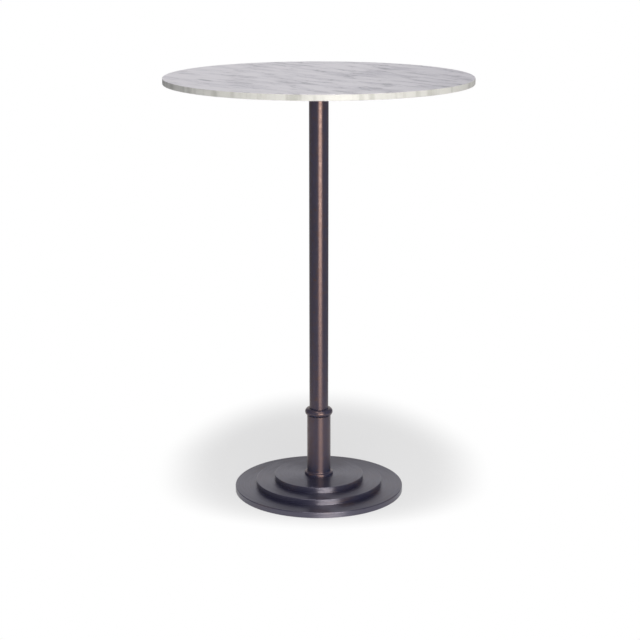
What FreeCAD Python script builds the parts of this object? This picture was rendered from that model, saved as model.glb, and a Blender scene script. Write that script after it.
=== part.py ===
import FreeCAD, Part
import math
import os

# Pedestal bar table: a round marble top on a bronze-finished steel column with a three-step round base.
# Millimetres. The table stands on z = 0, and its column is centred on the z axis.

# Whole table
table_height = 1066.8
top_diameter = 762.0

# Marble top
top_thickness = 15.0
top_edge_chamfer = 1.5

# Mounting plate under the marble, with its rubber cushion and the boss that holds the column's top end
plate_rim_width = 10.0
plate_thickness = 5.0
cushion_outer_diameter = 280.0
cushion_inner_diameter = 120.0
cushion_thickness = 2.0
boss_length = 30.0
boss_lead_in = 1.5

# Screws that clamp the plate to the marble, their washers, and the threaded inserts glued into the stone
plate_screw_count = 3
plate_screw_edge_distance = 25.0
plate_screw_diameter = 6.0
plate_screw_end_gap = 1.6
plate_screw_head_diameter = 10.5
plate_screw_head_height = 3.3
plate_screw_key_size = 4.0
plate_screw_key_depth = 2.0
plate_washer_diameter = 12.0
plate_washer_thickness = 1.6
insert_diameter = 9.5
insert_cover = 3.5
insert_glue_gap = 0.15

# Column tube, with the plug in its foot and the tie rod that pulls plate, column and base together
column_diameter = 48.3
column_wall = 2.6
plug_length = 35.0
spigot_diameter = 20.0
spigot_end_gap = 1.0
tie_rod_diameter = 12.0
tie_rod_top_gap = 2.0
tie_nut_size = 18.0
tie_nut_height = 6.0
tie_nut_chamfer = 1.0
tie_washer_diameter = 37.0
tie_washer_thickness = 3.0
tie_rod_beyond_nut = 0.5
tie_recess_floor_margin = 0.5

# Lower sleeve with the bead ring on its top edge and the foot ring below it
sleeve_wall = 5.5
bead_centre_height = 211.5
bead_half_height = 9.5
bead_overhang = 5.25
bead_seat_width = 2.0
foot_ring_height = 6.5
foot_ring_round = 2.8
foot_ring_land = 0.35
foot_ring_cove = 2.8
foot_ring_lip = 0.35
foot_ring_lip_land = 0.2

# Three stacked base discs
bottom_disc_diameter = 432.0
middle_disc_diameter = 324.0
small_disc_diameter = 228.6
bottom_disc_thickness = 14.0
middle_disc_thickness = 14.0
small_disc_thickness = 14.0
disc_edge_chamfer = 1.2
floor_gap = 2.0

# Countersunk screws between the discs
disc_screw_diameter = 8.0
disc_screw_head_diameter = 15.5
disc_screw_head_recess = 0.3
disc_screw_key_size = 5.0
disc_screw_key_depth = 2.6
disc_screw_count = 3
bottom_screw_edge_distance = 42.0
middle_screw_edge_distance = 34.3
blind_cover = 2.2
blind_gap = 0.5

# Levelling glides: a nylon pad in a recess of the bottom disc, moulded round the head of a threaded stud
glide_count = 4
glide_edge_distance = 24.0
pad_diameter = 32.0
pad_sole = 1.6
pad_lip = 1.1
pad_edge_chamfer = 0.8
pad_key_hole_diameter = 7.0
pad_recess_clearance = 2.0
stud_diameter = 8.0
stud_head_diameter = 14.0
stud_head_thickness = 2.0
stud_key_size = 4.0
stud_key_depth = 5.0

# Clearances, radial unless named otherwise
thread_clearance = 0.05
plug_clearance = 0.1
ring_clearance = 0.1
sleeve_clearance = 0.5
rod_clearance = 0.5
screw_clearance = 0.3
seat_clearance = 0.05
pad_head_clearance = 0.15
pad_head_end_play = 0.3

# Every cut runs this far past the faces that it opens
overrun = 1.0

# Diameters, radii and a length that follow from the sizes above
plate_diameter = cushion_outer_diameter + 2 * plate_rim_width
plate_screw_circle_diameter = cushion_outer_diameter - 2 * plate_screw_edge_distance
insert_length = top_thickness - insert_cover - blind_gap
sleeve_diameter = column_diameter + 2 * (sleeve_clearance + sleeve_wall)
bead_diameter = sleeve_diameter + 2 * bead_overhang
foot_lip_bore_radius = sleeve_diameter / 2 + seat_clearance
foot_lip_radius = foot_lip_bore_radius + foot_ring_lip
foot_ring_radius = foot_lip_radius + foot_ring_cove + foot_ring_land + foot_ring_round
bottom_screw_circle_diameter = middle_disc_diameter - 2 * bottom_screw_edge_distance
middle_screw_circle_diameter = small_disc_diameter - 2 * middle_screw_edge_distance
glide_circle_diameter = bottom_disc_diameter - 2 * glide_edge_distance

# Heights that follow from the sizes above
bottom_disc_low = floor_gap
bottom_disc_high = bottom_disc_low + bottom_disc_thickness
middle_disc_high = bottom_disc_high + middle_disc_thickness
base_top = middle_disc_high + small_disc_thickness
foot_ring_top = base_top + foot_ring_height
foot_lip_top = foot_ring_top + foot_ring_cove + foot_ring_lip_land
sleeve_top = bead_centre_height - bead_half_height
marble_low = table_height - top_thickness
plate_top = marble_low - cushion_thickness
plate_low = plate_top - plate_thickness
boss_low = plate_low - boss_length
tie_nut_low = bottom_disc_low + tie_recess_floor_margin + tie_rod_beyond_nut
tie_washer_low = tie_nut_low + tie_nut_height
tie_recess_top = tie_washer_low + tie_washer_thickness
pad_thickness = pad_sole + stud_head_thickness + pad_head_end_play + pad_lip
stud_hole_top = bottom_disc_high - blind_cover

# Radii that follow from the sizes above
column_radius = column_diameter / 2
column_bore_radius = column_radius - column_wall
plug_radius = column_bore_radius - plug_clearance
rod_hole_radius = tie_rod_diameter / 2 + rod_clearance
ring_bore_radius = column_radius + ring_clearance
spigot_bore_radius = spigot_diameter / 2 + plug_clearance

origin = FreeCAD.Vector(0, 0, 0)
up = FreeCAD.Vector(0, 0, 1)


def spot(radius, height):
    """A point of a turned outline, in the xz plane."""
    return FreeCAD.Vector(radius, 0, height)


def corner_arc(before, corner, after, size):
    """Start, middle and end of the arc that rounds a corner between two straight edges."""
    back = (before - corner).normalize()
    ahead = (after - corner).normalize()
    half = back.getAngle(ahead) / 2
    bisector = (back + ahead).normalize()
    reach = size / math.tan(half)
    depth = size / math.sin(half) - size
    return corner + back * reach, corner + bisector * depth, corner + ahead * reach


def turned(corners):
    """Solid of revolution about the z axis. Each corner is (radius, height) or (radius, height, rounding)."""
    spots = [spot(corner[0], corner[1]) for corner in corners]
    edges = []
    arrive = []
    leave = []
    for i, corner in enumerate(corners):
        here = spots[i]
        if len(corner) == 3:
            after = spots[(i + 1) % len(spots)]
            start, middle, end = corner_arc(spots[i - 1], here, after, corner[2])
            edges.append(Part.Arc(start, middle, end).toShape())
            arrive.append(start)
            leave.append(end)
        else:
            arrive.append(here)
            leave.append(here)
    for i, start in enumerate(leave):
        end = arrive[(i + 1) % len(arrive)]
        edges.append(Part.LineSegment(start, end).toShape())
    wire = Part.Wire(Part.sortEdges(edges)[0])
    return Part.Face(wire).revolve(origin, up, 360)


def drum(radius, low, high):
    """Plain cylinder on the z axis between two heights."""
    return Part.makeCylinder(radius, high - low, spot(0, low), up)


def washer(outer_radius, hole_radius, low, high):
    """Flat ring on the z axis between two heights."""
    return drum(outer_radius, low, high).cut(drum(hole_radius, low - overrun, high + overrun))


def hexagon(across_flats, low, high):
    """Six-sided prism on the z axis between two heights."""
    corner_radius = across_flats / 2 / math.cos(math.pi / 6)
    corners = []
    for i in range(7):
        angle = math.pi / 3 * i
        corners.append(FreeCAD.Vector(corner_radius * math.cos(angle), corner_radius * math.sin(angle), low))
    return Part.Face(Part.makePolygon(corners)).extrude(up * (high - low))


def places(count, circle_diameter, first_turn_share):
    """Even places on a circle round the axis; the first stands at this share of one step from +x."""
    step = 2 * math.pi / count
    spread = []
    for i in range(count):
        angle = step * (i + first_turn_share)
        spread.append(FreeCAD.Vector(math.cos(angle), math.sin(angle), 0) * (circle_diameter / 2))
    return spread


def copies(piece, where):
    """The same piece at each place."""
    return [piece.translated(place) for place in where]


def bored(piece, tools):
    """The piece with every tool cut out of it, as one clean solid."""
    return piece.cut(Part.makeCompound(tools)).removeSplitter().Solids[0]


plate_screw_places = places(plate_screw_count, plate_screw_circle_diameter, 1 / 2)
bottom_screw_places = places(disc_screw_count, bottom_screw_circle_diameter, 0)
middle_screw_places = places(disc_screw_count, middle_screw_circle_diameter, 1 / 2)
glide_places = places(glide_count, glide_circle_diameter, 1 / 2)


def marble_top():
    """Thin round slab with eased edges and blind holes for the inserts."""
    radius = top_diameter / 2
    slab = turned(
        [
            (0, marble_low),
            (radius - top_edge_chamfer, marble_low),
            (radius, marble_low + top_edge_chamfer),
            (radius, table_height - top_edge_chamfer),
            (radius - top_edge_chamfer, table_height),
            (0, table_height),
        ]
    )
    hole = drum(
        insert_diameter / 2 + insert_glue_gap,
        marble_low - overrun,
        marble_low + insert_length + blind_gap,
    )
    return bored(slab, copies(hole, plate_screw_places))


def threaded_insert():
    """Brass insert, flush with the underside of the marble."""
    bore = plate_screw_diameter / 2 + thread_clearance
    return washer(insert_diameter / 2, bore, marble_low, marble_low + insert_length)


def cushion_ring():
    """Rubber ring between the plate and the stone."""
    ring = washer(cushion_outer_diameter / 2, cushion_inner_diameter / 2, plate_top, marble_low)
    hole = drum(plate_screw_diameter / 2 + screw_clearance, plate_top - overrun, marble_low + overrun)
    return bored(ring, copies(hole, plate_screw_places))


def mounting_plate():
    """Round steel plate that carries the marble."""
    plate = drum(plate_diameter / 2, plate_low, plate_top)
    hole = drum(plate_screw_diameter / 2 + screw_clearance, plate_low - overrun, plate_top + overrun)
    return bored(plate, copies(hole, plate_screw_places))


def hub_boss():
    """Boss welded under the plate: it centres the column's top end and is tapped for the tie rod."""
    bore = tie_rod_diameter / 2 + thread_clearance
    return turned(
        [
            (bore, boss_low),
            (plug_radius - boss_lead_in, boss_low),
            (plug_radius, boss_low + boss_lead_in),
            (plug_radius, plate_low),
            (bore, plate_low),
        ]
    )


def plate_washer():
    """Flat washer under a plate screw's head."""
    low = plate_low - plate_washer_thickness
    return washer(plate_washer_diameter / 2, plate_screw_diameter / 2 + screw_clearance, low, plate_low)


def plate_screw():
    """Socket screw, head down, that reaches up into an insert."""
    head_top = plate_low - plate_washer_thickness
    head_low = head_top - plate_screw_head_height
    head = plate_screw_head_diameter / 2
    shank = plate_screw_diameter / 2
    end = marble_low + insert_length - plate_screw_end_gap
    screw = turned(
        [
            (0, head_low),
            (head, head_low),
            (head, head_top),
            (shank, head_top),
            (shank, end),
            (0, end),
        ]
    )
    return bored(screw, [hexagon(plate_screw_key_size, head_low - overrun, head_low + plate_screw_key_depth)])


def column_tube():
    """Slender tube from the base discs to the mounting plate."""
    return washer(column_radius, column_bore_radius, base_top, plate_low)


def column_plug():
    """Turned plug in the column's foot, with a spigot that centres the three discs."""
    spigot = spigot_diameter / 2
    spigot_low = tie_recess_top + spigot_end_gap
    top = base_top + plug_length
    return turned(
        [
            (rod_hole_radius, spigot_low),
            (spigot, spigot_low),
            (spigot, base_top),
            (plug_radius, base_top),
            (plug_radius, top - boss_lead_in),
            (plug_radius - boss_lead_in, top),
            (rod_hole_radius, top),
        ]
    )


def tie_rod():
    """Long rod from the nut under the base up into the tapped boss."""
    return drum(tie_rod_diameter / 2, tie_nut_low - tie_rod_beyond_nut, plate_low - tie_rod_top_gap)


def tie_rod_washer():
    """Large washer at the top of the recess under the bottom disc."""
    hole = tie_rod_diameter / 2 + screw_clearance
    return washer(tie_washer_diameter / 2, hole, tie_washer_low, tie_recess_top)


def tie_rod_nut():
    """Thin hexagon nut with its corners turned off."""
    nut = hexagon(tie_nut_size, tie_nut_low, tie_washer_low)
    bore = drum(tie_rod_diameter / 2 + thread_clearance, tie_nut_low - overrun, tie_washer_low + overrun)
    corner_radius = tie_nut_size / 2 / math.cos(math.pi / 6)
    blank = turned(
        [
            (0, tie_nut_low),
            (corner_radius - tie_nut_chamfer, tie_nut_low),
            (corner_radius, tie_nut_low + tie_nut_chamfer),
            (corner_radius, tie_washer_low),
            (0, tie_washer_low),
        ]
    )
    return bored(nut.common(blank), [bore])


def column_sleeve():
    """Thicker tube round the lower column, from the foot ring to the bead ring."""
    outer = sleeve_diameter / 2
    return washer(outer, outer - sleeve_wall, foot_ring_top, sleeve_top)


def bead_ring():
    """Half-round ring on top of the sleeve, with a small flat seat at its top and bottom."""
    seat = ring_bore_radius + bead_seat_width
    low = bead_centre_height - bead_half_height
    high = bead_centre_height + bead_half_height
    edges = [
        Part.LineSegment(spot(ring_bore_radius, high), spot(ring_bore_radius, low)).toShape(),
        Part.LineSegment(spot(ring_bore_radius, low), spot(seat, low)).toShape(),
        Part.Arc(spot(seat, low), spot(bead_diameter / 2, bead_centre_height), spot(seat, high)).toShape(),
        Part.LineSegment(spot(seat, high), spot(ring_bore_radius, high)).toShape(),
    ]
    return Part.Face(Part.Wire(edges)).revolve(origin, up, 360)


def foot_ring():
    """Low ring under the sleeve: a rounded rim, then a cove that rises to a lip round the sleeve's foot."""
    return turned(
        [
            (ring_bore_radius, base_top),
            (foot_ring_radius, base_top),
            (foot_ring_radius, foot_ring_top, foot_ring_round),
            (foot_lip_radius, foot_ring_top, foot_ring_cove),
            (foot_lip_radius, foot_lip_top),
            (foot_lip_bore_radius, foot_lip_top),
            (foot_lip_bore_radius, foot_ring_top),
            (ring_bore_radius, foot_ring_top),
        ]
    )


def disc_blank(diameter, low, high):
    """Round plate with a central hole for the spigot and a chamfered top rim."""
    radius = diameter / 2
    return turned(
        [
            (spigot_bore_radius, low),
            (radius, low),
            (radius, high - disc_edge_chamfer),
            (radius - disc_edge_chamfer, high),
            (spigot_bore_radius, high),
        ]
    )


def disc_screw(low, high):
    """Countersunk socket screw: its head lies just inside the face at low, its end stops short of high."""
    head_low = low + disc_screw_head_recess
    head = disc_screw_head_diameter / 2
    shank = disc_screw_diameter / 2
    neck = head_low + head - shank
    end = high - blind_cover - blind_gap
    screw = turned([(0, head_low), (head, head_low), (shank, neck), (shank, end), (0, end)])
    return bored(screw, [hexagon(disc_screw_key_size, head_low - overrun, head_low + disc_screw_key_depth)])


def disc_screw_hole(low, high):
    """Countersunk hole for disc_screw, blind under the face at high."""
    head = disc_screw_head_diameter / 2 + seat_clearance
    shank = disc_screw_diameter / 2 + seat_clearance
    cone_low = low + disc_screw_head_recess
    end = high - blind_cover
    return turned(
        [
            (0, low - overrun),
            (head, low - overrun),
            (head, cone_low),
            (shank, cone_low + head - shank),
            (shank, end),
            (0, end),
        ]
    )


def bottom_disc():
    """Largest disc, with recesses for the glides and the nut underneath, tapped and countersunk holes."""
    low = bottom_disc_low - overrun
    recess = drum(pad_diameter / 2 + pad_recess_clearance, low, pad_thickness)
    stud_hole = drum(stud_diameter / 2 + thread_clearance, low, stud_hole_top)
    nut_recess = drum(tie_washer_diameter / 2 + rod_clearance, low, tie_recess_top)
    tools = [nut_recess]
    tools += copies(recess.fuse(stud_hole), glide_places)
    tools += copies(disc_screw_hole(bottom_disc_low, middle_disc_high), bottom_screw_places)
    return bored(disc_blank(bottom_disc_diameter, bottom_disc_low, bottom_disc_high), tools)


def middle_disc():
    """Middle disc: tapped from below for the bottom screws, countersunk for the middle ones."""
    tools = copies(disc_screw_hole(bottom_disc_low, middle_disc_high), bottom_screw_places)
    tools += copies(disc_screw_hole(bottom_disc_high, base_top), middle_screw_places)
    return bored(disc_blank(middle_disc_diameter, bottom_disc_high, middle_disc_high), tools)


def small_disc():
    """Smallest disc, which the column stands on, tapped from below for the middle screws."""
    tools = copies(disc_screw_hole(bottom_disc_high, base_top), middle_screw_places)
    return bored(disc_blank(small_disc_diameter, middle_disc_high, base_top), tools)


def glide_stud():
    """Threaded stud with a round head, turned with a hexagon key from below."""
    head = stud_head_diameter / 2
    shank = stud_diameter / 2
    head_top = pad_sole + stud_head_thickness
    end = stud_hole_top - blind_gap
    stud = turned(
        [
            (0, pad_sole),
            (head, pad_sole),
            (head, head_top),
            (shank, head_top),
            (shank, end),
            (0, end),
        ]
    )
    return bored(stud, [hexagon(stud_key_size, pad_sole - overrun, pad_sole + stud_key_depth)])


def glide_pad():
    """Nylon pad moulded round the stud's head, with a hole for the key in its sole."""
    outer = pad_diameter / 2
    key_hole = pad_key_hole_diameter / 2
    cavity = stud_head_diameter / 2 + pad_head_clearance
    neck = stud_diameter / 2 + seat_clearance
    cavity_top = pad_sole + stud_head_thickness + pad_head_end_play
    return turned(
        [
            (key_hole, 0),
            (outer - pad_edge_chamfer, 0),
            (outer, pad_edge_chamfer),
            (outer, pad_thickness),
            (neck, pad_thickness),
            (neck, cavity_top),
            (cavity, cavity_top),
            (cavity, pad_sole),
            (key_hole, pad_sole),
        ]
    )


nodes = {
    "marble_top": marble_top(),
    "top_inserts": Part.makeCompound(copies(threaded_insert(), plate_screw_places)),
    "cushion_ring": cushion_ring(),
    "mounting_plate": mounting_plate(),
    "hub_boss": hub_boss(),
    "plate_washers": Part.makeCompound(copies(plate_washer(), plate_screw_places)),
    "plate_screws": Part.makeCompound(copies(plate_screw(), plate_screw_places)),
    "column_tube": column_tube(),
    "column_plug": column_plug(),
    "tie_rod": tie_rod(),
    "tie_rod_washer": tie_rod_washer(),
    "tie_rod_nut": tie_rod_nut(),
    "column_sleeve": column_sleeve(),
    "bead_ring": bead_ring(),
    "foot_ring": foot_ring(),
    "small_disc": small_disc(),
    "middle_disc": middle_disc(),
    "bottom_disc": bottom_disc(),
    "middle_disc_screws": Part.makeCompound(
        copies(disc_screw(bottom_disc_high, base_top), middle_screw_places)
    ),
    "bottom_disc_screws": Part.makeCompound(
        copies(disc_screw(bottom_disc_low, middle_disc_high), bottom_screw_places)
    ),
}
for number, place in enumerate(glide_places, start=1):
    nodes[f"glide_pad_{number}"] = glide_pad().translated(place)
    nodes[f"glide_stud_{number}"] = glide_stud().translated(place)

os.makedirs("parts", exist_ok=True)
for name, shape in nodes.items():
    if not shape.isValid() or shape.Volume <= 0:
        raise ValueError(f"{name} is not a sound solid")
    shape.exportStep(f"parts/{name}.step")
print(f"{len(nodes)} nodes")
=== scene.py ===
"""Pedestal bar table: a thin marble top on a bronze-finished steel column with a three-step round base."""

import math
import random

import bmesh
import bpy
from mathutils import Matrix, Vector


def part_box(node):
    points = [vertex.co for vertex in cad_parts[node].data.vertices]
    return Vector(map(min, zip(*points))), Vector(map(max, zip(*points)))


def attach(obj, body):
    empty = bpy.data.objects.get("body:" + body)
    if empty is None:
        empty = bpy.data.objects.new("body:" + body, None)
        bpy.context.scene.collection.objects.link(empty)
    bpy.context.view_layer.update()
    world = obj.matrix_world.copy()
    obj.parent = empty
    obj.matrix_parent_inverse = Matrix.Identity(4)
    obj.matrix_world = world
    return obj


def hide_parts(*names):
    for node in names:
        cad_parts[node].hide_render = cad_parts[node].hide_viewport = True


bl_info = {
    "name": "Pedestal bar table",
    "version": (1, 0, 0),
    "blender": (4, 5, 0),
    "location": "View3D > Sidebar > Bar table",
    "description": "Marble-topped bar table with a bronze column and a stepped round base",
    "category": "Object",
}

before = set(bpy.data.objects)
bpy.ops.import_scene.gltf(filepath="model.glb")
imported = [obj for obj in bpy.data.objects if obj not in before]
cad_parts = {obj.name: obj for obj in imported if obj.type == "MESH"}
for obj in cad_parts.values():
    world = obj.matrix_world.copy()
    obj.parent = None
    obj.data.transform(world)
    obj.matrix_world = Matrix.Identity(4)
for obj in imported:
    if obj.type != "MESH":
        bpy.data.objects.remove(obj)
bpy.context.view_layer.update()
BODY = "table"
MM = 0.001
TAU = 2 * math.pi
WELD = 0.001 * MM
WHITE = (1.0, 1.0, 1.0)
LEVEL = (1.0, 1.0, 0.0)
UP = (0.0, 0.0, 1.0)
NOISE_MIDDLE = 0.5

# Setting of a Map Range node that eases its value in and out. The spans below are its inputs: the lowest and
# highest value, and what these become where that isn't 0 and 1
EASED = {"interpolation_type": "SMOOTHSTEP"}

# Camera, fitted to the ellipses in the photograph: place in metres, pitch in degrees, lens and sensor in
# millimetres
CAMERA_PLACE = (0.0029, -4.0283, 1.4879)
CAMERA_PITCH = 14.41
CAMERA_LENS = 92.34
SENSOR_WIDTH = 36.0

# Low softbox right of the camera: place, width and height in metres, power in watts
SOFTBOX_PLACE = (1.3, -4.3, 0.5)
SOFTBOX_SIZE = (2.8, 0.95)
SOFTBOX_POWER = 145.0

# High key light, as a broad sun: direction it comes from, strength and width in degrees
KEY_FROM = (0.05, -0.42, 1.067)
KEY_STRENGTH = 1.5
KEY_WIDTH = 42.0

# Studio surroundings: how brightly they light the table, how bright the dim room beyond the white sweep
# looks in gloss, how squarely behind the table the sweep begins and is full, and how it dims higher up
WORLD_FILL = 0.22
ROOM_GLOSS = 0.30
SWEEP_BEHIND = (0.75, 0.90)
SWEEP_RISE = (0.12, 0.33, 1.0, 0.62)

# Floor: half its side in metres, the strength of its own even pale glow and that glow's share in what is
# seen of it, and where the white sweep on it ends beside and before the table, in metres
FLOOR_HALF = 30.0
# The glow, below white, is the grey of the painted shadow patch, laid over the real cast shadow of the matt
# paint
FLOOR_GLOW = 0.82
FLOOR_GLOW_SHARE = 0.82
SWEEP_BESIDE = (0.45, 0.8)
SWEEP_BEFORE = (0.25, 0.6)

# Painted shadow: a grey patch painted on the floor where the table's shadow falls, which fades into white:
# its middle to the right and in depth, how far it reaches to the sides, the front and the back, in metres,
# the powers that square it off to the sides, the front and the back, and the span of their sum over which it
# fades
SHADOW_RIGHT = 0.012
SHADOW_MIDDLE = 0.25
SHADOW_SIDE = 0.458
SHADOW_FRONT = 0.546
SHADOW_BACK = 0.68
SHADOW_SIDE_POWER = 2.0
SHADOW_FRONT_POWER = 3.5
SHADOW_BACK_POWER = 1.5
SHADOW_FADE = (0.34, 1.0)

# Marble pattern: turn of the streaks from the depth axis in degrees, their stretch, and how far they drift
# out of line in metres
STONE_TURN = 40.0
STONE_STRETCH = (1.0, 3.6, 1.0)
STONE_DRIFT = (50 * MM,) * 3

# Marble's noises, from the sizes of the real stone's drifts, clouds, veins, hair lines, edge bands and grain
STONE_DRIFTS = {"Scale": 1 / (110 * MM), "Detail": 4.0}
STONE_CLOUDS = {"Scale": 1 / (42 * MM), "Detail": 6.0, "Roughness": 0.6}
STONE_VEINS = {"Scale": 1 / (52 * MM), "Detail": 5.0}
STONE_HAIRS = {"Scale": 1 / (24 * MM), "Detail": 5.0}
STONE_BANDS = {"Scale": 1 / (22 * MM), "Detail": 3.0}
STONE_GRAIN = {"Scale": 1 / (1.6 * MM), "Detail": 2.0}

# Spans of the marble's patterns. Heavy and dusk run from left to right, in metres, and edge goes by how level
# the face is
STONE_HEAVY_SPAN = (-0.25, 0.30, 0.45, 1.0)
STONE_DUSK_SPAN = (0.05, 0.34, 0.0, 0.5)
STONE_CLOUD_SPAN = (0.42, 0.66)
STONE_VEIN_SPAN = (0.0, 0.034, 1.0, 0.0)
STONE_HAIR_SPAN = (0.0, 0.022, 0.6, 0.0)
STONE_VEINED_SPAN = (0.38, 0.60)
STONE_EDGE_SPAN = (0.3, 0.8, 1.0, 0.0)
STONE_BAND_SPAN = (0.45, 0.65)
STONE_GRAIN_SPAN = (0.3, 0.7, 0.0, 0.05)

# Dark fleck near the left of the marble: its place and size in the drifted pattern, in metres
STONE_FLECK_PLACE = (-0.229, 0.055, 1.08)
STONE_FLECK_SIZE = (12 * MM, 12 * MM, 100 * MM)
STONE_FLECK_SPAN = (0.3, 1.0, 0.8, 0.0)

# Upright squeeze of the edge's bands, which makes them taller than the slab
STONE_BAND_SQUEEZE = (1.0, 1.0, 0.15)

# Bronze lacquer: mottling of the patina, and what the turning tool left. A mark's breaks are how often its
# pattern changes on the way round
COLUMN_FINISH = {
    "ior": 1.6,
    "roughness": 0.36,
    "stretch": 0.55,
    "patina_size": 14 * MM,
    "patina_roughness": 0.20,
    "mark_size": 2.2 * MM,
    "mark_breaks": 1.6,
    "mark_depth": 0.002 * MM,
    "mark_roughness": 0.06,
}
BASE_FINISH = {
    "ior": 1.68,
    "roughness": 0.33,
    "stretch": 0.75,
    "patina_size": 60 * MM,
    "patina_roughness": 0.08,
    "mark_size": 3.2 * MM,
    "mark_breaks": 3.0,
    "mark_depth": 0.012 * MM,
    "mark_roughness": 0.08,
}
PATINA_DETAIL = 6.0
MARKS = {"Scale": 1.0, "Detail": 3.0, "Roughness": 0.6}

# Where the lacquer is rubbed brown, by its patina and its marks, and which marks are dull or bright
RUBBED_PATINA_SPAN = (0.45, 0.75)
RUBBED_MARK_SPAN = (0.4, 0.7)
MARK_SPAN = (0.35, 0.65)

# A quarter turn of a shader's stretched highlights, from round the piece to across the turning marks
ACROSS = 0.25

# Fine grain of the plainer finishes: its detail, and its depth as a share of its size
GRAIN_DETAIL = 4.0
GRAIN_DEPTH_SHARE = 0.05

# Bead ring: flat seat at its top and bottom, and straight steps in its round
BEAD_SEAT = 2 * MM
BEAD_STEPS = 24

# Turning grooves on the rims of the base discs: number, usual depth of each disc's, how it varies, and
# straight steps in each
GROOVES = 5
GROOVE_DEPTHS = {"small": 0.22 * MM, "middle": 0.24 * MM, "bottom": 0.07 * MM}
GROOVE_UNEVENNESS = (0.6, 1.2)
GROOVE_STEPS = 8
GROOVE_SEED = 7

# Foot ring: width of the flat between its rim and its cove, and the gap between its lip and the sleeve
RING_LAND = 0.35 * MM
RING_LIP_GAP = 0.05 * MM

# Fits under the base and round the screws, as the frame's pieces leave them
GLIDES = 4
STUD_RADIUS = 4 * MM
STUD_END_GAP = 0.5 * MM
PLATE_SCREW_RADIUS = 3 * MM
WASHER_BORE = 3.3 * MM
PAD_GAP = 2 * MM
NUT_GAP = 0.5 * MM
FIT_GAP = 0.05 * MM
CUT_OVERRUN = 1 * MM
KNURL_DEPTH = 0.2 * MM

# Sides of a screw's socket
KEY_SIDES = 6

# Edges that turn by more than this, in radians, are shaded sharp, and large faces lead the rest's shading
SHARP = math.radians(35)
LARGE_FACES_LEAD = 100


def linear(written):
    """A written sRGB colour such as #C8C5CC as linear red, green and blue."""
    channels = [int(written[i : i + 2], 16) / 255 for i in (1, 3, 5)]
    return tuple(c / 12.92 if c <= 0.04045 else ((c + 0.055) / 1.055) ** 2.4 for c in channels)


def outer_radius(node):
    """Radius of a round CAD node that stands on the z axis."""
    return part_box(node)[1].x


def inner_radius(node):
    """Radius of the bore of a round CAD node that stands on the z axis."""
    return min(math.hypot(v.co.x, v.co.y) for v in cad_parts[node].data.vertices)


def heights(node):
    """Lowest and highest z of a CAD node."""
    low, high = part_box(node)
    return low.z, high.z


def solid_boxes(node):
    """Lowest and highest corners of each separate solid in a CAD node, counted round the z axis."""
    mesh = bmesh.new()
    mesh.from_mesh(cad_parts[node].data)
    bmesh.ops.remove_doubles(mesh, verts=mesh.verts[:], dist=WELD)
    left = set(mesh.verts)
    boxes = []
    while left:
        reached = [left.pop()]
        solid = []
        while reached:
            vert = reached.pop()
            solid.append(vert.co.copy())
            fresh = {edge.other_vert(vert) for edge in vert.link_edges} & left
            left -= fresh
            reached.extend(fresh)
        low = Vector([min(co[axis] for co in solid) for axis in range(3)])
        high = Vector([max(co[axis] for co in solid) for axis in range(3)])
        boxes.append((low, high))
    mesh.free()
    return sorted(boxes, key=lambda box: math.atan2(box[0].y + box[1].y, box[0].x + box[1].x))


def places(node):
    """Where each solid of a CAD node stands, on z = 0."""
    return [Vector((low.x + high.x, low.y + high.y, 0)) / 2 for low, high in solid_boxes(node)]


def solid_radius(node):
    """Half the width of one of a CAD node's solids."""
    low, high = solid_boxes(node)[0]
    return (high.x - low.x) / 2


def colour_property(name, description, written):
    """A colour that a user can change, with its written default."""
    return bpy.props.FloatVectorProperty(
        name=name, description=description, subtype="COLOR", size=3, min=0, max=1, default=linear(written)
    )


def length_property(name, description, millimetres):
    """A length that a user can change, with its default in millimetres."""
    return bpy.props.FloatProperty(
        name=name, description=description, unit="LENGTH", min=0, precision=5, default=millimetres * MM
    )


class BarTableSizes(bpy.types.PropertyGroup):
    """Roundings and mesh fineness of the table's pieces; their main sizes come from the frame."""

    stone_arris: length_property("Stone arris", "Radius of the eased edges of the stone", 1.4)
    disc_arris: length_property("Disc arris", "Radius of the eased top rim of each base disc", 2.0)
    ring_round: length_property("Foot ring rounding", "Radius of the foot ring's rim", 2.8)
    ring_cove: length_property("Foot ring cove", "Radius of the hollow between the foot ring and sleeve", 2.8)
    metal_arris: length_property("Metal arris", "Radius of the eased edges of washers and screws", 0.25)
    screw_key: length_property("Screw key", "Width of the plate screws' hexagon sockets", 4.0)
    screw_key_depth: length_property("Screw key depth", "Depth of the plate screws' sockets", 2.0)
    disc_key: length_property("Disc screw key", "Width of the disc screws' hexagon sockets", 5.0)
    disc_key_depth: length_property("Disc screw key depth", "Depth of the disc screws' sockets", 2.6)
    circle_steps: bpy.props.IntProperty(
        name="Circle steps", description="Straight steps in each full circle", min=24, default=288
    )
    small_steps: bpy.props.IntProperty(
        name="Small circle steps", description="Steps round each screw, washer and recess", min=24, default=72
    )
    arris_steps: bpy.props.IntProperty(
        name="Arris steps", description="Straight steps in each rounded corner", min=1, default=5
    )


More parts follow.
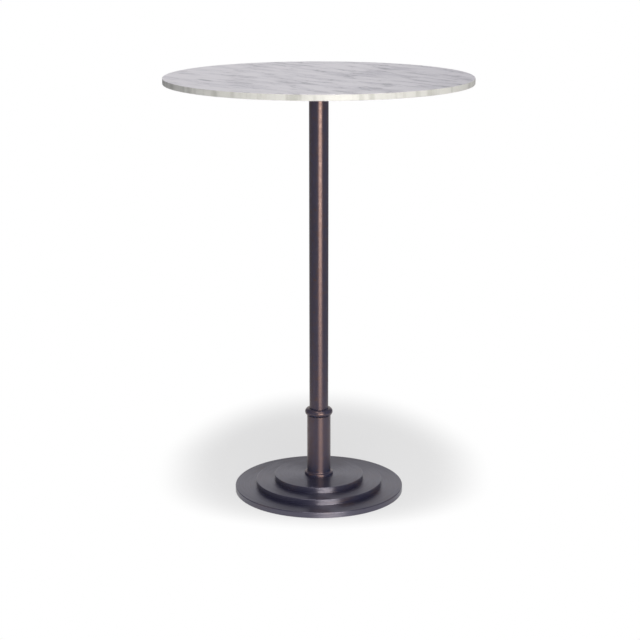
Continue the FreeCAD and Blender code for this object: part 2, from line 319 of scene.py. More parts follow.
class BarTableColours(bpy.types.PropertyGroup):
    """Colours of the table's finishes."""

    stone_ground: colour_property("Stone ground", "Body of the marble", "#E9E6EB")
    stone_cloud: colour_property("Stone cloud", "Broad grey clouds in the marble", "#BCB9C3")
    stone_vein: colour_property("Stone vein", "Fine veins in the marble", "#86848F")
    stone_edge: colour_property("Stone edge", "Honed edge of the marble", "#C6C7C3")
    stone_band: colour_property("Stone band", "Grey-green bands in the edge", "#AEAFAA")
    bronze_shade: colour_property("Bronze shade", "Dark lacquer under the bronze flake", "#1F2940")
    bronze_rub: colour_property("Bronze rub", "Brown where the finish is rubbed", "#3A2A24")
    bronze_glint: colour_property("Bronze glint", "Tint of the bronze flake's highlights", "#FFD3C0")
    base_shade: colour_property("Base shade", "Dark lacquer on the base discs", "#12142A")
    base_glint: colour_property("Base glint", "Tint of the base discs' highlights", "#F4EFFF")
    floor_white: colour_property("Floor white", "Pale studio floor", "#F2F2F2")
    surroundings: colour_property("Surroundings", "Tint of the light from all round", "#F6F3FC")
    softbox: colour_property("Softbox", "Tint of the softbox", "#FFFAF2")


def shown_socket(sockets, key):
    """The socket of this name or number among those that a node shows with its settings."""
    shown = [socket for socket in sockets if socket.enabled]
    return shown[key] if isinstance(key, int) else next(socket for socket in shown if socket.name == key)


def add_node(tree, kind, inputs, **settings):
    """Adds a shader node with its settings, and its inputs in order, or by name.

    Each input is a value, a socket to link from, or a node, which is linked from the first output it shows.
    """
    node = tree.nodes.new(f"ShaderNode{kind}")
    for name, value in settings.items():
        setattr(node, name, value)
    for key, value in inputs.items() if isinstance(inputs, dict) else enumerate(inputs):
        socket = shown_socket(node.inputs, key)
        if isinstance(value, bpy.types.Node):
            value = shown_socket(value.outputs, 0)
        if isinstance(value, bpy.types.NodeSocket):
            tree.links.new(value, socket)
        else:
            socket.default_value = (*value, 1.0) if socket.type == "RGBA" else value
    return node


def new_material(name):
    """An empty material, its node tree, and its Object coordinates in metres."""
    material = bpy.data.materials.new(name)
    material.use_nodes = True
    tree = material.node_tree
    tree.nodes.clear()
    return material, tree, add_node(tree, "TexCoord", []).outputs["Object"]


def end_material(tree, inputs):
    """Ends a material with one Principled shader, whose fixed values and links are given by name."""
    shader = add_node(tree, "BsdfPrincipled", inputs)
    add_node(tree, "OutputMaterial", [shader])


def veins(tree, vector, pattern, span):
    """Thin wavy lines where a smooth pattern crosses its middle."""
    ridge = add_node(tree, "TexNoise", {"Vector": vector, **pattern})
    ridge = add_node(tree, "Math", [ridge, NOISE_MIDDLE], operation="SUBTRACT")
    ridge = add_node(tree, "Math", [ridge], operation="ABSOLUTE")
    return add_node(tree, "MapRange", [ridge, *span], **EASED)


def marble_face(tree, place, colours):
    """Colour of the polished faces: soft streaks, thin veins and one dark fleck on the mauve-grey ground."""
    right = add_node(tree, "SeparateXYZ", [place]).outputs["X"]
    turn = (0.0, 0.0, math.radians(STONE_TURN))
    along = {"Vector": place, "Rotation": turn, "Scale": STONE_STRETCH}
    along = add_node(tree, "Mapping", along, vector_type="TEXTURE")
    drift = add_node(tree, "TexNoise", {"Vector": along, **STONE_DRIFTS}).outputs["Color"]
    bent = add_node(tree, "VectorMath", [drift, STONE_DRIFT, along], operation="MULTIPLY_ADD")
    heavy = add_node(tree, "MapRange", [right, *STONE_HEAVY_SPAN], **EASED)
    dusk = add_node(tree, "MapRange", [right, *STONE_DUSK_SPAN], **EASED)
    ground = add_node(tree, "Mix", [dusk, colours.stone_ground, colours.stone_cloud], data_type="RGBA")
    cloud = add_node(tree, "TexNoise", {"Vector": bent, **STONE_CLOUDS})
    streaks = add_node(tree, "MapRange", [cloud, *STONE_CLOUD_SPAN], **EASED)
    streaks = add_node(tree, "Math", [streaks, heavy], operation="MULTIPLY")
    clouded = add_node(tree, "Mix", [streaks, ground, colours.stone_cloud], data_type="RGBA")
    lines = veins(tree, bent, STONE_VEINS, STONE_VEIN_SPAN)
    hairs = veins(tree, bent, STONE_HAIRS, STONE_HAIR_SPAN)
    lines = add_node(tree, "Math", [lines, hairs], operation="MAXIMUM")
    veined = add_node(tree, "MapRange", [cloud, *STONE_VEINED_SPAN], **EASED)
    lines = add_node(tree, "Math", [lines, veined], operation="MULTIPLY")
    lines = add_node(tree, "Math", [lines, heavy], operation="MULTIPLY")
    fleck = add_node(tree, "VectorMath", [bent, STONE_FLECK_PLACE], operation="SUBTRACT")
    fleck = add_node(tree, "VectorMath", [fleck, STONE_FLECK_SIZE], operation="DIVIDE")
    fleck = add_node(tree, "VectorMath", [fleck], operation="LENGTH")
    fleck = add_node(tree, "MapRange", [fleck, *STONE_FLECK_SPAN], **EASED)
    lines = add_node(tree, "Math", [lines, fleck], operation="MAXIMUM")
    return add_node(tree, "Mix", [lines, clouded, colours.stone_vein], data_type="RGBA")


def marble_edge(tree, place, colours):
    """Colour of the honed edge: faintly green, with upright grey bands."""
    upright = add_node(tree, "VectorMath", [place, STONE_BAND_SQUEEZE], operation="MULTIPLY")
    band = add_node(tree, "TexNoise", {"Vector": upright, **STONE_BANDS})
    band = add_node(tree, "MapRange", [band, *STONE_BAND_SPAN], **EASED)
    return add_node(tree, "Mix", [band, colours.stone_edge, colours.stone_band], data_type="RGBA")


def polished_marble(colours):
    """Polished white marble: a pale mauve-grey ground with soft streaks and thin grey veins.

    The streaks run from the left at the back to the right at the front, and they and the ground are darker
    on the right. The honed edge is duller and faintly green. A fine grain lightens both.
    """
    material, tree, place = new_material("polished_marble")
    face = marble_face(tree, place, colours)
    edge = marble_edge(tree, place, colours)
    normal = add_node(tree, "NewGeometry", []).outputs["Normal"]
    level = add_node(tree, "SeparateXYZ", [normal]).outputs["Z"]
    level = add_node(tree, "Math", [level], operation="ABSOLUTE")
    upright = add_node(tree, "MapRange", [level, *STONE_EDGE_SPAN], **EASED)
    both = add_node(tree, "Mix", [upright, face, edge], data_type="RGBA")
    grain = add_node(tree, "TexNoise", {"Vector": place, **STONE_GRAIN})
    grain = add_node(tree, "MapRange", [grain, *STONE_GRAIN_SPAN], **EASED)
    colour = add_node(tree, "Mix", [grain, both, WHITE], data_type="RGBA")
    end_material(tree, {"Base Color": colour, "Roughness": 0.34, "IOR": 1.5, "Specular IOR Level": 0.3})
    return material


def turning_marks(tree, place, finish):
    """Fine marks that run round a turned piece, up its walls and in over its level faces."""
    flat = add_node(tree, "VectorMath", [place, LEVEL], operation="MULTIPLY")
    radius = add_node(tree, "VectorMath", [flat], operation="LENGTH")
    height = add_node(tree, "SeparateXYZ", [place]).outputs["Z"]
    path = add_node(tree, "Math", [radius, height], operation="ADD")
    path = add_node(tree, "Math", [path, finish["mark_size"]], operation="DIVIDE")
    rising = add_node(tree, "CombineXYZ", {"Z": path})
    round_it = add_node(tree, "VectorMath", [flat], operation="NORMALIZE")
    breaks = (finish["mark_breaks"],) * 3
    turned = add_node(tree, "VectorMath", [round_it, breaks, rising], operation="MULTIPLY_ADD")
    return add_node(tree, "TexNoise", {"Vector": turned, **MARKS})


def lacquered_bronze(name, shade, rub, glint, finish):
    """Dark bronze lacquer on turned steel: nearly black, with tinted highlights and fine turning marks.

    The marks run round the piece, which stretches its highlights across them. The specular level is above the
    default for the metal flake under the clear coat.
    """
    material, tree, place = new_material(name)
    tangent = add_node(tree, "VectorMath", [UP, place], operation="CROSS_PRODUCT")
    marks = turning_marks(tree, place, finish)
    patina = {"Vector": place, "Scale": 1 / finish["patina_size"], "Detail": PATINA_DETAIL}
    patina = add_node(tree, "TexNoise", patina)
    rubbed = add_node(tree, "MapRange", [patina, *RUBBED_PATINA_SPAN], **EASED)
    rubbed_marks = add_node(tree, "MapRange", [marks, *RUBBED_MARK_SPAN], **EASED)
    rubbed = add_node(tree, "Math", [rubbed, rubbed_marks], operation="MULTIPLY")
    wear = finish["patina_roughness"]
    worn = [patina, wear, finish["roughness"] - wear / 2]
    worn = add_node(tree, "Math", worn, operation="MULTIPLY_ADD")
    trace = finish["mark_roughness"] / 2
    traced = add_node(tree, "MapRange", [marks, *MARK_SPAN, -trace, trace], **EASED)
    relief = {"Strength": 1.0, "Distance": finish["mark_depth"], "Height": marks}
    sockets = {
        "Base Color": add_node(tree, "Mix", [rubbed, shade, rub], data_type="RGBA"),
        "Roughness": add_node(tree, "Math", [worn, traced], operation="ADD"),
        "Normal": add_node(tree, "Bump", relief),
        "Tangent": tangent,
        "IOR": finish["ior"],
        "Specular IOR Level": 1.0,
        "Specular Tint": glint,
        "Anisotropic": finish["stretch"],
        "Anisotropic Rotation": ACROSS,
    }
    end_material(tree, sockets)
    return material


def plain_finish(name, written, grain_size, grain_share, sockets):
    """A finish of one colour with a fine grain that lightens and darkens it by a share."""
    material, tree, place = new_material(name)
    colour = linear(written)
    dark = [channel * (1 - grain_share) for channel in colour]
    light = [min(1.0, channel * (1 + grain_share)) for channel in colour]
    grain = {"Vector": place, "Scale": 1 / grain_size, "Detail": GRAIN_DETAIL}
    grain = add_node(tree, "TexNoise", grain)
    relief = {"Strength": 1.0, "Distance": grain_size * GRAIN_DEPTH_SHARE, "Height": grain}
    patterns = {
        "Base Color": add_node(tree, "Mix", [grain, dark, light], data_type="RGBA"),
        "Normal": add_node(tree, "Bump", relief),
    }
    end_material(tree, patterns | sockets)
    return material


def powder_coat():
    """Matt black powder coat on the mounting plate: fine orange-peel grain."""
    return plain_finish("black_powder_coat", "#1B1B1D", 0.6 * MM, 0.2, {"Roughness": 0.55})


def bright_zinc():
    """Bright zinc plating on the fasteners: pale grey metal with a faint cloudy sheen."""
    return plain_finish("bright_zinc", "#B9BBBE", 2 * MM, 0.12, {"Roughness": 0.32, "Metallic": 1.0})


def turned_brass():
    """Turned brass of the threaded inserts: warm yellow metal with a slight sheen."""
    return plain_finish("turned_brass", "#C9A35A", 1 * MM, 0.1, {"Roughness": 0.3, "Metallic": 1.0})


def moulded_nylon():
    """Black moulded nylon of the glide pads: matt, with a fine spark-eroded grain."""
    return plain_finish("moulded_nylon", "#202022", 0.4 * MM, 0.15, {"Roughness": 0.5})


def sheet_rubber():
    """Black sheet rubber of the cushion ring: dull and slightly dusty."""
    return plain_finish("sheet_rubber", "#1A1A1B", 0.8 * MM, 0.2, {"Roughness": 0.8})


def dress(piece, material):
    """Gives a piece its only material, in its one slot."""
    piece.data.materials.clear()
    piece.data.materials.append(material)


def dress_node(node, material):
    """Gives a CAD node a material through its object's own slots."""
    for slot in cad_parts[node].material_slots:
        slot.link = "OBJECT"
        slot.material = material


def profile(corners, steps, closed=True):
    """An outline in the xz plane, as a bmesh.

    Each corner is (radius, height) or (radius, height, rounding). An outline that isn't closed starts and
    ends on the axis.
    """
    mesh = bmesh.new()
    spots = [mesh.verts.new((corner[0], 0, corner[1])) for corner in corners]
    for first, second in zip(spots, spots[1:]):
        mesh.edges.new((first, second))
    if closed:
        mesh.edges.new((spots[-1], spots[0]))
    for spot, corner in zip(spots, corners):
        if len(corner) == 3:
            bmesh.ops.bevel(
                mesh,
                geom=[spot],
                offset=corner[2],
                offset_type="OFFSET",
                segments=steps,
                profile=0.5,
                affect="VERTICES",
                material=-1,
            )
    return mesh


def spin(mesh, steps):
    """Turns an outline about the z axis into a closed solid with its faces outwards."""
    bmesh.ops.spin(
        mesh,
        geom=mesh.verts[:] + mesh.edges[:],
        cent=(0, 0, 0),
        axis=(0, 0, 1),
        dvec=(0, 0, 0),
        angle=TAU,
        steps=steps,
        use_merge=True,
        use_duplicate=False,
    )
    bmesh.ops.remove_doubles(mesh, verts=mesh.verts[:], dist=WELD)
    bmesh.ops.recalc_face_normals(mesh, faces=mesh.faces[:])
    return mesh


def small_solid(corners, sizes):
    """A small solid such as a screw, turned from an outline that starts and ends on the axis."""
    return spin(profile(corners, sizes.arris_steps, closed=False), sizes.small_steps)


def repeat(mesh, where):
    """The same solid at each place, and none on the axis."""
    corners = mesh.verts[:]
    first = corners + mesh.edges[:] + mesh.faces[:]
    for place in where:
        made = bmesh.ops.duplicate(mesh, geom=first)["geom"]
        moved = [part for part in made if isinstance(part, bmesh.types.BMVert)]
        bmesh.ops.translate(mesh, verts=moved, vec=place)
    bmesh.ops.delete(mesh, geom=corners, context="VERTS")
    return mesh


def join(mesh, other):
    """Adds a second bmesh to the first and frees it."""
    data = bpy.data.meshes.new("joined")
    other.to_mesh(data)
    other.free()
    mesh.from_mesh(data)
    bpy.data.meshes.remove(data)


def add_object(name, mesh):
    """A new object in the scene with a bmesh's shape, which frees the bmesh."""
    data = bpy.data.meshes.new(name)
    mesh.to_mesh(data)
    mesh.free()
    thing = bpy.data.objects.new(name, data)
    bpy.context.scene.collection.objects.link(thing)
    return thing


def cut_out(mesh, tool):
    """The first solid with the second cut out of it, as a new bmesh."""
    things = [add_object("cutting", part) for part in (mesh, tool)]
    difference = things[0].modifiers.new("difference", "BOOLEAN")
    difference.operation = "DIFFERENCE"
    difference.solver = "EXACT"
    difference.object = things[1]
    shaped = bpy.data.meshes.new_from_object(things[0].evaluated_get(bpy.context.evaluated_depsgraph_get()))
    result = bmesh.new()
    result.from_mesh(shaped)
    bpy.data.meshes.remove(shaped)
    for thing in things:
        data = thing.data
        bpy.data.objects.remove(thing)
        bpy.data.meshes.remove(data)
    return result


def six_sided(mesh, radius, flats):
    """Makes the round wall at a radius six-sided, with this width across its flats."""
    for vert in mesh.verts:
        if abs(math.hypot(vert.co.x, vert.co.y) - radius) < WELD:
            off_flat = math.atan2(vert.co.y, vert.co.x) % (TAU / KEY_SIDES) - TAU / KEY_SIDES / 2
            stretch = flats / 2 / math.cos(off_flat) / radius
            vert.co.x *= stretch
            vert.co.y *= stretch


def finish_piece(name, mesh, node):
    """A finished piece of a bmesh, which rides on the table and stands for a CAD node."""
    for face in mesh.faces:
        face.smooth = True
    for edge in mesh.edges:
        edge.smooth = edge.calc_face_angle(0) < SHARP
    piece = add_object(name, mesh)
    even = piece.modifiers.new("even_shading", "WEIGHTED_NORMAL")
    even.weight = LARGE_FACES_LEAD
    even.keep_sharp = True
    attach(piece, BODY)
    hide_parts(node)
    return piece


class BARTABLE_OT_stone_top(bpy.types.Operator):
    """Thin round marble slab with eased edges."""

    bl_idname = "bartable.stone_top"
    bl_label = "Marble top"

    def execute(self, context):
        sizes = context.scene.bar_table_sizes
        radius = outer_radius("marble_top")
        low, high = heights("marble_top")
        corners = [(0, low), (radius, low, sizes.stone_arris), (radius, high, sizes.stone_arris), (0, high)]
        outline = profile(corners, sizes.arris_steps, closed=False)
        slab = finish_piece("marble_slab", spin(outline, sizes.circle_steps), "marble_top")
        dress(slab, polished_marble(context.scene.bar_table_colours))
        return {"FINISHED"}


class BARTABLE_OT_column(bpy.types.Operator):
    """Column tube, lower sleeve, bead ring and foot ring."""

    bl_idname = "bartable.column"
    bl_label = "Column"

    def execute(self, context):
        sizes = context.scene.bar_table_sizes
        colours = context.scene.bar_table_colours
        tones = (colours.bronze_shade, colours.bronze_rub, colours.bronze_glint)
        bronze = lacquered_bronze("lacquered_bronze", *tones, COLUMN_FINISH)
        for name, node, outline in (
            ("column", "column_tube", self.tube("column_tube", sizes)),
            ("sleeve", "column_sleeve", self.tube("column_sleeve", sizes)),
            ("bead", "bead_ring", self.bead()),
            ("foot_collar", "foot_ring", self.foot_ring(sizes)),
        ):
            dress(finish_piece(name, spin(outline, sizes.circle_steps), node), bronze)
        return {"FINISHED"}

    def tube(self, node, sizes):
        """Straight tube of the CAD node's bore, width and length."""
        inner, outer = inner_radius(node), outer_radius(node)
        low, high = heights(node)
        corners = [(inner, low), (outer, low), (outer, high), (inner, high)]
        return profile(corners, sizes.arris_steps)

    def bead(self):
        """Half-round ring on the sleeve's top edge, with a small flat seat at its top and bottom."""
        inner, outer = inner_radius("bead_ring"), outer_radius("bead_ring")
        low, high = heights("bead_ring")
        seat = inner + BEAD_SEAT
        rise = (high - low) / 2
        swell = outer - seat
        radius = (rise * rise + swell * swell) / (2 * swell)
        mesh = bmesh.new()
        bmesh.ops.spin(
            mesh,
            geom=[mesh.verts.new((seat, 0, low))],
            cent=(outer - radius, 0, low + rise),
            axis=(0, -1, 0),
            dvec=(0, 0, 0),
            angle=2 * math.atan2(rise, radius - swell),
            steps=BEAD_STEPS,
            use_merge=False,
            use_duplicate=False,
        )
        bottom = min(mesh.verts, key=lambda vert: vert.co.z)
        top = max(mesh.verts, key=lambda vert: vert.co.z)
        inside = [mesh.verts.new((inner, 0, low)), mesh.verts.new((inner, 0, high))]
        for first, second in ((inside[0], bottom), (top, inside[1]), (inside[1], inside[0])):
            mesh.edges.new((first, second))
        return mesh

    def foot_ring(self, sizes):
        """Low ring under the sleeve: a rounded rim, then a cove that rises to a lip round the sleeve."""
        inner, outer = inner_radius("foot_ring"), outer_radius("foot_ring")
        low, high = heights("foot_ring")
        seat = heights("column_sleeve")[0]
        lip = outer - sizes.ring_round - RING_LAND - sizes.ring_cove
        bore = outer_radius("column_sleeve") + RING_LIP_GAP
        corners = [
            (inner, low),
            (outer, low),
            (outer, seat, sizes.ring_round),
            (lip, seat, sizes.ring_cove),
            (lip, high),
            (bore, high),
            (bore, seat),
            (inner, seat),
        ]
        return profile(corners, sizes.arris_steps)


class BARTABLE_OT_base_discs(bpy.types.Operator):
    """Three stacked round base discs with eased top rims and turning grooves round their edges."""

    bl_idname = "bartable.base_discs"
    bl_label = "Base discs"

    def execute(self, context):
        sizes = context.scene.bar_table_sizes
        colours = context.scene.bar_table_colours
        tones = (colours.base_shade, colours.bronze_rub, colours.base_glint)
        bronze = lacquered_bronze("lacquered_base", *tones, BASE_FINISH)
        chance = random.Random(GROOVE_SEED)
        for size in ("small", "middle", "bottom"):
            node = f"{size}_disc"
            depths = [GROOVE_DEPTHS[size] * chance.uniform(*GROOVE_UNEVENNESS) for _ in range(GROOVES)]
            solid = spin(self.outline(node, sizes, depths), sizes.circle_steps)
            if size == "bottom":
                solid = cut_out(solid, self.recesses(sizes))
            dress(finish_piece(f"{size}_base_disc", solid, node), bronze)
        return {"FINISHED"}

    def outline(self, node, sizes, depths):
        """Section of one disc, whose rim has turning grooves of uneven depth."""
        inner, outer = inner_radius(node), outer_radius(node)
        low, high = heights(node)
        corners = [(inner, low), (outer, low), (outer, high, sizes.disc_arris), (inner, high)]
        mesh = profile(corners, sizes.arris_steps)
        rim = [edge for edge in mesh.edges if all(abs(vert.co.x - outer) < WELD for vert in edge.verts)]
        length = sum(edge.calc_length() for edge in rim)
        bmesh.ops.subdivide_edges(mesh, edges=rim, cuts=GROOVES * GROOVE_STEPS - 1)
        for vert in mesh.verts:
            if abs(vert.co.x - outer) < WELD:
                turn = (vert.co.z - low) / length * GROOVES
                depth = depths[min(int(turn), GROOVES - 1)]
                vert.co.x -= depth * (1 - math.cos(TAU * turn)) / 2
        return mesh

    def recesses(self, sizes):
        """What is cut out of the bottom disc from below, for the glides, the nut and the screws."""
        below = heights("bottom_disc")[0] - CUT_OVERRUN
        pad_top = heights("glide_pad_1")[1]
        stud_top = heights("glide_stud_1")[1] + STUD_END_GAP
        pad_hole = solid_radius("glide_pad_1") + PAD_GAP
        stud_hole = STUD_RADIUS + FIT_GAP
        glides = [
            (0, below),
            (pad_hole, below),
            (pad_hole, pad_top),
            (stud_hole, pad_top),
            (stud_hole, stud_top),
            (0, stud_top),
        ]
        tools = small_solid(glides, sizes)
        repeat(tools, [places(f"glide_pad_{n}")[0] for n in range(1, GLIDES + 1)])
        nut_hole = outer_radius("tie_rod_washer") + NUT_GAP
        nut_top = heights("tie_rod_washer")[1]
        nut = [(0, below), (nut_hole, below), (nut_hole, nut_top), (0, nut_top)]
        join(tools, small_solid(nut, sizes))
        head_low = heights("bottom_disc_screws")[0]
        head_hole = solid_radius("bottom_disc_screws") + FIT_GAP
        cone_top = head_low + head_hole - stud_hole
        above = heights("bottom_disc")[1] + CUT_OVERRUN
        screw = [
            (0, below),
            (head_hole, below),
            (head_hole, head_low),
            (stud_hole, cone_top),
            (stud_hole, above),
            (0, above),
        ]
        join(tools, repeat(small_solid(screw, sizes), places("bottom_disc_screws")))
        return tools


class BARTABLE_OT_fasteners(bpy.types.Operator):
    """Screws and washers that show from below."""

    bl_idname = "bartable.fasteners"
    bl_label = "Screws and washers"

    def execute(self, context):
        sizes = context.scene.bar_table_sizes
        zinc = bright_zinc()
        for name, node, mesh in (
            ("plate_washer_set", "plate_washers", self.washer(sizes)),
            ("plate_screw_set", "plate_screws", self.plate_screw(sizes)),
            ("bottom_screw_set", "bottom_disc_screws", self.disc_screw(sizes)),
        ):
            dress(finish_piece(name, repeat(mesh, places(node)), node), zinc)
        return {"FINISHED"}

    def washer(self, sizes):
        """Flat washer with eased edges."""
        low, high = heights("plate_washers")
        outer = solid_radius("plate_washers")
        arris = sizes.metal_arris
        corners = [(WASHER_BORE, low), (outer, low, arris), (outer, high, arris), (WASHER_BORE, high)]
        return spin(profile(corners, sizes.arris_steps), sizes.small_steps)

    def plate_screw(self, sizes):
        """Low cap screw, head down, with a knurled head and a hexagon socket."""
        low, high = heights("plate_screws")
        head_top = heights("plate_washers")[0]
        head = solid_radius("plate_screws")
        key = sizes.screw_key / 2
        corners = [
            (0, low + sizes.screw_key_depth),
            (key, low + sizes.screw_key_depth),
            (key, low),
            (head, low, sizes.metal_arris),
            (head, head_top),
            (PLATE_SCREW_RADIUS, head_top),
            (PLATE_SCREW_RADIUS, high),
            (0, high),
        ]
        mesh = small_solid(corners, sizes)
        step = TAU / sizes.small_steps
        for vert in mesh.verts:
            on_rim = abs(math.hypot(vert.co.x, vert.co.y) - head) < WELD
            if on_rim and round(math.atan2(vert.co.y, vert.co.x) / step) % 2:
                vert.co.x *= 1 - KNURL_DEPTH / head
                vert.co.y *= 1 - KNURL_DEPTH / head
        six_sided(mesh, key, sizes.screw_key)
        return mesh

    def disc_screw(self, sizes):
        """Countersunk screw with a hexagon socket."""
        low, high = heights("bottom_disc_screws")
        head = solid_radius("bottom_disc_screws")
        key = sizes.disc_key / 2
        corners = [
            (0, low + sizes.disc_key_depth),
            (key, low + sizes.disc_key_depth),
            (key, low),
            (head, low),
            (STUD_RADIUS, low + head - STUD_RADIUS),
            (STUD_RADIUS, high),
            (0, high),
        ]
        mesh = small_solid(corners, sizes)
        six_sided(mesh, key, sizes.disc_key)
        return mesh


class BARTABLE_OT_finishes(bpy.types.Operator):
    """Finishes of the plate, cushion, rod, nut and glides, whose shapes the frame holds."""

    bl_idname = "bartable.finishes"
    bl_label = "Plate, rod and glides"

    def execute(self, context):
        rod = ["column_plug", "tie_rod", "tie_rod_washer", "tie_rod_nut", "middle_disc_screws"]
        studs = [f"glide_stud_{n}" for n in range(1, GLIDES + 1)]
        pads = [f"glide_pad_{n}" for n in range(1, GLIDES + 1)]
        for material, nodes in (
            (powder_coat(), ["mounting_plate", "hub_boss"]),
            (sheet_rubber(), ["cushion_ring"]),
            (turned_brass(), ["top_inserts"]),
            (bright_zinc(), rod + studs),
            (moulded_nylon(), pads),
        ):
            for node in nodes:
                dress_node(node, material)
        return {"FINISHED"}


class BARTABLE_OT_stage(bpy.types.Operator):
    """Pale floor, white surroundings, soft lights and the camera."""

    bl_idname = "bartable.stage"
    bl_label = "Stage"

    def execute(self, context):
        colours = context.scene.bar_table_colours
        self.camera(context)
        self.lights(context, colours)
        self.surroundings(context, colours)
        self.floor(colours)
        context.scene.view_settings.view_transform = "Standard"
        return {"FINISHED"}

    def camera(self, context):
        """Camera at the photograph's viewing angle."""
        data = bpy.data.cameras.new("camera")
        data.sensor_width = SENSOR_WIDTH
        data.lens = CAMERA_LENS
        camera = bpy.data.objects.new("camera", data)
        camera.location = CAMERA_PLACE
        camera.rotation_euler = (math.radians(90 - CAMERA_PITCH), 0, 0)
        context.scene.collection.objects.link(camera)
        context.scene.camera = camera

    def lights(self, context, colours):
        """Low softbox beside the camera and a broad high key light."""
        box = bpy.data.lights.new("softbox", "AREA")
        box.shape = "RECTANGLE"
        box.size, box.size_y = SOFTBOX_SIZE
        box.energy = SOFTBOX_POWER
        box.color = colours.softbox
        key = bpy.data.lights.new("high_key", "SUN")
        key.energy = KEY_STRENGTH
        key.angle = math.radians(KEY_WIDTH)
        for light, place, target in (
            (box, Vector(SOFTBOX_PLACE), Vector((0, 0, SOFTBOX_PLACE[2]))),
            (key, Vector(KEY_FROM), Vector((0, 0, 0))),
        ):
            lamp = bpy.data.objects.new(light.name, light)
            lamp.location = place
            lamp.rotation_euler = (place - target).to_track_quat("Z", "Y").to_euler()
            lamp.visible_camera = False
            context.scene.collection.objects.link(lamp)

    def ray_kinds(self, tree):
        """1 for what the camera sees, straight or through glass, and 1 for what is seen in gloss."""
        rays = add_node(tree, "LightPath", []).outputs
        straight = [rays["Is Camera Ray"], rays["Is Transmission Ray"]]
        return add_node(tree, "Math", straight, operation="MAXIMUM"), rays["Is Glossy Ray"]

    def surroundings(self, context, colours):
        """White for the camera and through glass, and an even fill of light for the table.

        Gloss finds a white sweep behind the table, which dims higher up, and a dim room beyond the sweep.
        """
        world = bpy.data.worlds.new("white_studio")
        world.use_nodes = True
        tree = world.node_tree
        tree.nodes.clear()
        straight, glossy = self.ray_kinds(tree)
        toward = add_node(tree, "TexCoord", []).outputs["Generated"]
        toward = add_node(tree, "SeparateXYZ", [toward]).outputs
        behind = add_node(tree, "MapRange", [toward["Y"], *SWEEP_BEHIND], **EASED)
        low = add_node(tree, "MapRange", [toward["Z"], *SWEEP_RISE], **EASED)
        sweep = add_node(tree, "Math", [behind, low], operation="MULTIPLY")
        sweep = add_node(tree, "Math", [sweep, glossy], operation="MULTIPLY")
        strength = add_node(tree, "Mix", [glossy, WORLD_FILL, ROOM_GLOSS])
        around = add_node(tree, "Background", {"Color": colours.surroundings, "Strength": strength})
        white = add_node(tree, "Background", {"Color": WHITE, "Strength": 1.0})
        plain = add_node(tree, "Math", [straight, sweep], operation="MAXIMUM")
        shown = add_node(tree, "MixShader", [plain, around, white])
        add_node(tree, "OutputWorld", [shown])
        context.scene.world = world

    def floor(self, colours):
        """Pale floor that keeps the table's cast shadow, with a painted grey shadow patch round it, and fades
        into the white surroundings.
        """
        mesh = bmesh.new()
        bmesh.ops.create_grid(mesh, x_segments=1, y_segments=1, size=FLOOR_HALF)
        floor = add_object("floor", mesh)
        floor.data.materials.append(self.studio_floor(colours))

    def studio_floor(self, colours):
        """Matt white floor paint, seen with a pale grey glow of its own that paints a shadow patch, and plain
        white off that patch.

        In gloss it is as dim as the room, beside the white sweep and before it.
        """
        material, tree, place = new_material("studio_floor")
        place = add_node(tree, "SeparateXYZ", [place]).outputs
        straight, glossy = self.ray_kinds(tree)
        seen = add_node(tree, "Math", [straight, glossy], operation="MAXIMUM")
        matt = add_node(tree, "BsdfDiffuse", {"Color": colours.floor_white})
        glow = add_node(tree, "Emission", {"Strength": FLOOR_GLOW})
        glowing = add_node(tree, "Math", [seen, FLOOR_GLOW_SHARE], operation="MULTIPLY")
        # Inside the patch the grey glow is painted shadow, mixed with the real cast shadow on the matt paint
        lit = add_node(tree, "MixShader", [glowing, matt, glow])
        white = add_node(tree, "Emission", {"Strength": 1.0})
        far = add_node(tree, "Math", [seen, self.off_painted_shadow(tree, place)], operation="MULTIPLY")
        faded = add_node(tree, "MixShader", [far, lit, white])
        room = add_node(tree, "Emission", {"Strength": ROOM_GLOSS})
        beyond = add_node(tree, "Math", [glossy, self.off_sweep(tree, place)], operation="MULTIPLY")
        shown = add_node(tree, "MixShader", [beyond, faded, room])
        add_node(tree, "OutputMaterial", [shown])
        return material

    def off_sweep(self, tree, place):
        """0 on the white sweep round and behind the table, and 1 beside it and before it."""
        beside = add_node(tree, "Math", [place["X"]], operation="ABSOLUTE")
        beside = add_node(tree, "MapRange", [beside, *SWEEP_BESIDE], **EASED)
        before = add_node(tree, "Math", [place["Y"], -1.0], operation="MULTIPLY")
        before = add_node(tree, "MapRange", [before, *SWEEP_BEFORE], **EASED)
        return add_node(tree, "Math", [beside, before], operation="MAXIMUM")

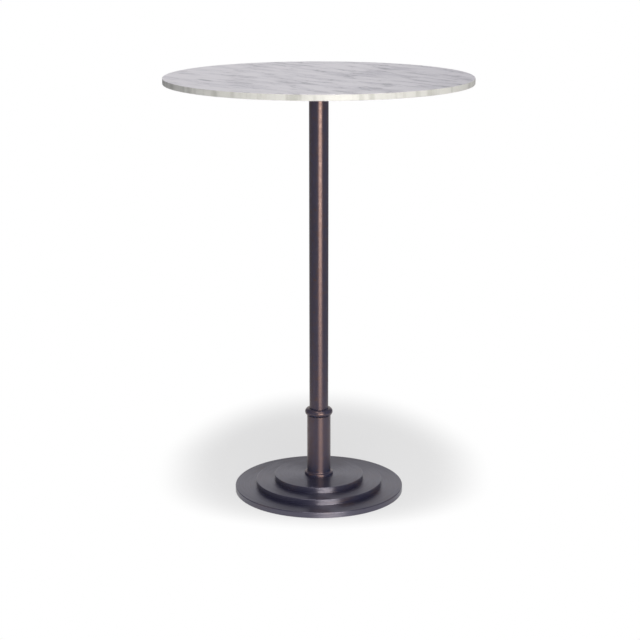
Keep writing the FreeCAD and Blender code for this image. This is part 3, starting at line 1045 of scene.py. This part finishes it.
    def off_painted_shadow(self, tree, place):
        """0 in the painted shadow's grey patch and 1 outside it; the patch fades slowly behind and fast in
        front.
        """
        across = add_node(tree, "Math", [place["X"], SHADOW_RIGHT], operation="SUBTRACT")
        across = add_node(tree, "Math", [across], operation="ABSOLUTE")
        depth = add_node(tree, "Math", [place["Y"], SHADOW_MIDDLE], operation="SUBTRACT")
        behind = add_node(tree, "Math", [depth, 0.0], operation="MAXIMUM")
        before = add_node(tree, "Math", [depth, 0.0], operation="MINIMUM")
        edges = []
        for reach, length, power in (
            (across, SHADOW_SIDE, SHADOW_SIDE_POWER),
            (behind, SHADOW_BACK, SHADOW_BACK_POWER),
            (before, -SHADOW_FRONT, SHADOW_FRONT_POWER),
        ):
            share = add_node(tree, "Math", [reach, length], operation="DIVIDE")
            edges.append(add_node(tree, "Math", [share, power], operation="POWER"))
        side, back, front = edges
        deep = add_node(tree, "Math", [back, front], operation="MAXIMUM")
        total = add_node(tree, "Math", [side, deep], operation="ADD")
        return add_node(tree, "MapRange", [total, *SHADOW_FADE], **EASED)


OPERATORS = (
    BARTABLE_OT_stage,
    BARTABLE_OT_stone_top,
    BARTABLE_OT_column,
    BARTABLE_OT_base_discs,
    BARTABLE_OT_fasteners,
    BARTABLE_OT_finishes,
)


class BARTABLE_PT_panel(bpy.types.Panel):
    """Panel that lists the table's operators, sizes and colours."""

    bl_idname = "BARTABLE_PT_panel"
    bl_label = "Bar table"
    bl_space_type = "VIEW_3D"
    bl_region_type = "UI"
    bl_category = "Bar table"

    def draw(self, context):
        for operator in OPERATORS:
            self.layout.operator(operator.bl_idname)
        for group in (context.scene.bar_table_sizes, context.scene.bar_table_colours):
            for name in group.bl_rna.properties.keys():
                if name not in ("rna_type", "name"):
                    self.layout.prop(group, name)


CLASSES = (BarTableSizes, BarTableColours, *OPERATORS, BARTABLE_PT_panel)


def register():
    """Registers the classes and hangs the sizes and colours on the scene."""
    for cls in CLASSES:
        bpy.utils.register_class(cls)
    bpy.types.Scene.bar_table_sizes = bpy.props.PointerProperty(type=BarTableSizes)
    bpy.types.Scene.bar_table_colours = bpy.props.PointerProperty(type=BarTableColours)


def unregister():
    """Takes away what register added."""
    del bpy.types.Scene.bar_table_colours
    del bpy.types.Scene.bar_table_sizes
    for cls in reversed(CLASSES):
        bpy.utils.unregister_class(cls)


def main():
    """Registers the add-on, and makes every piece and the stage."""
    register()
    for operator in OPERATORS:
        group, name = operator.bl_idname.split(".")
        getattr(getattr(bpy.ops, group), name)()


if __name__ == "__main__":
    main()
